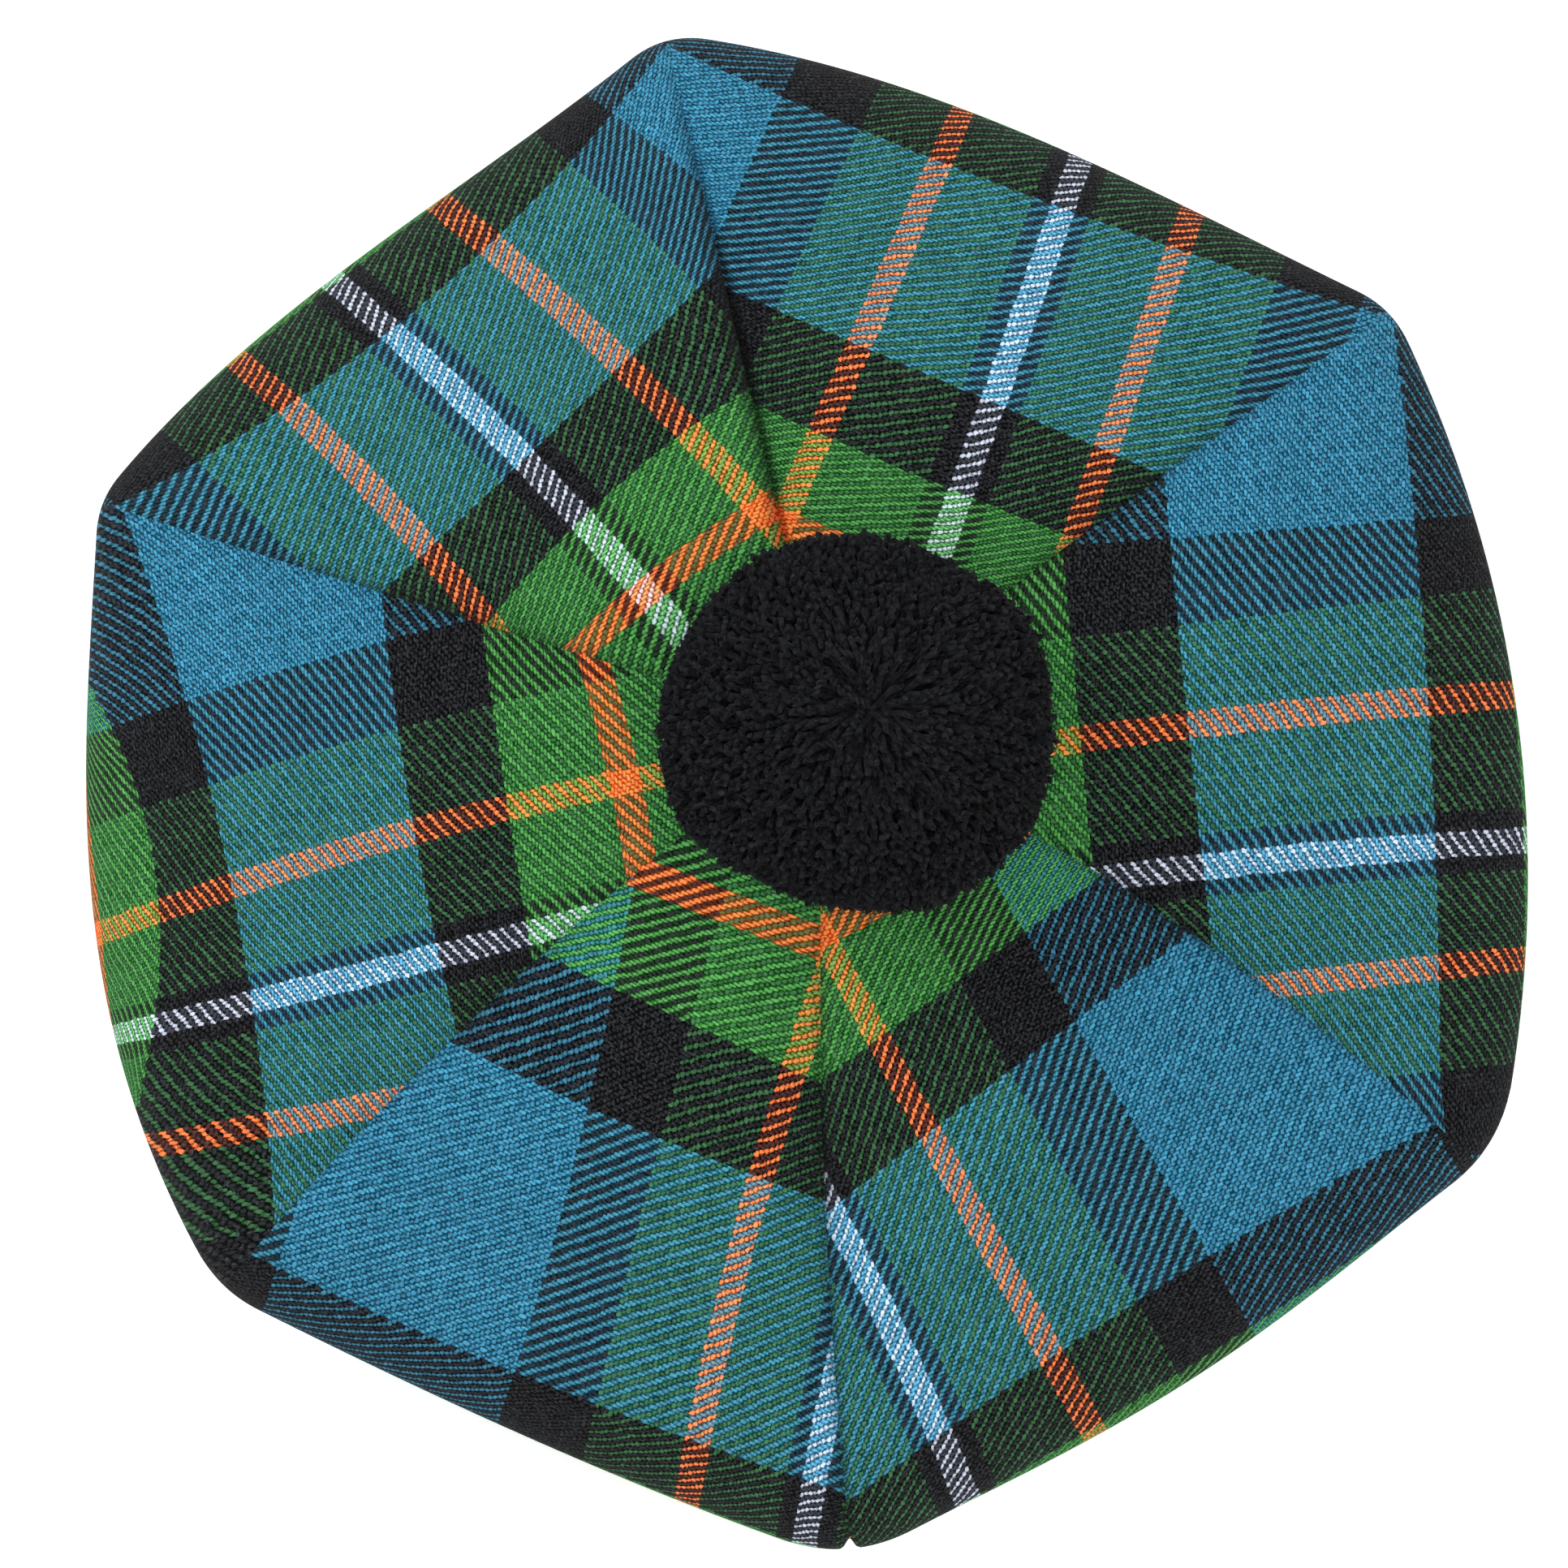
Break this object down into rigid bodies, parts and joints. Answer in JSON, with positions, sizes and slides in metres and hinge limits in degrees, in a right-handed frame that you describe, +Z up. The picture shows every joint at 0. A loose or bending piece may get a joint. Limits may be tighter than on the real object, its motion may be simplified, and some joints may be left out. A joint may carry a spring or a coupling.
{
  "type": "tam o shanter",
  "caption": "Round soft wool cap of shaped tartan gores over a plain headband, with a large wool pompom on the crown.",
  "frame": {"origin": "on the floor, under the middle of the hat's outline", "axes": "+Z up through the crown, +X to the right and +Y to the back as seen from above"},
  "size_m": [0.2752, 0.2879, 0.127],
  "materials": {
    "tartan_cloth": "twill wool tartan",
    "headband_cloth": "twill wool tartan",
    "pompom_wool": "cut wool yarn"
  },
  "bodies": {
    "root": {"gore_right": "tartan_cloth", "gore_back_right": "tartan_cloth", "gore_back_left": "tartan_cloth", "gore_left": "tartan_cloth", "gore_front_left": "tartan_cloth", "gore_front_right": "tartan_cloth", "headband": "headband_cloth", "pompom": "pompom_wool"}
  },
  "joints": []
}
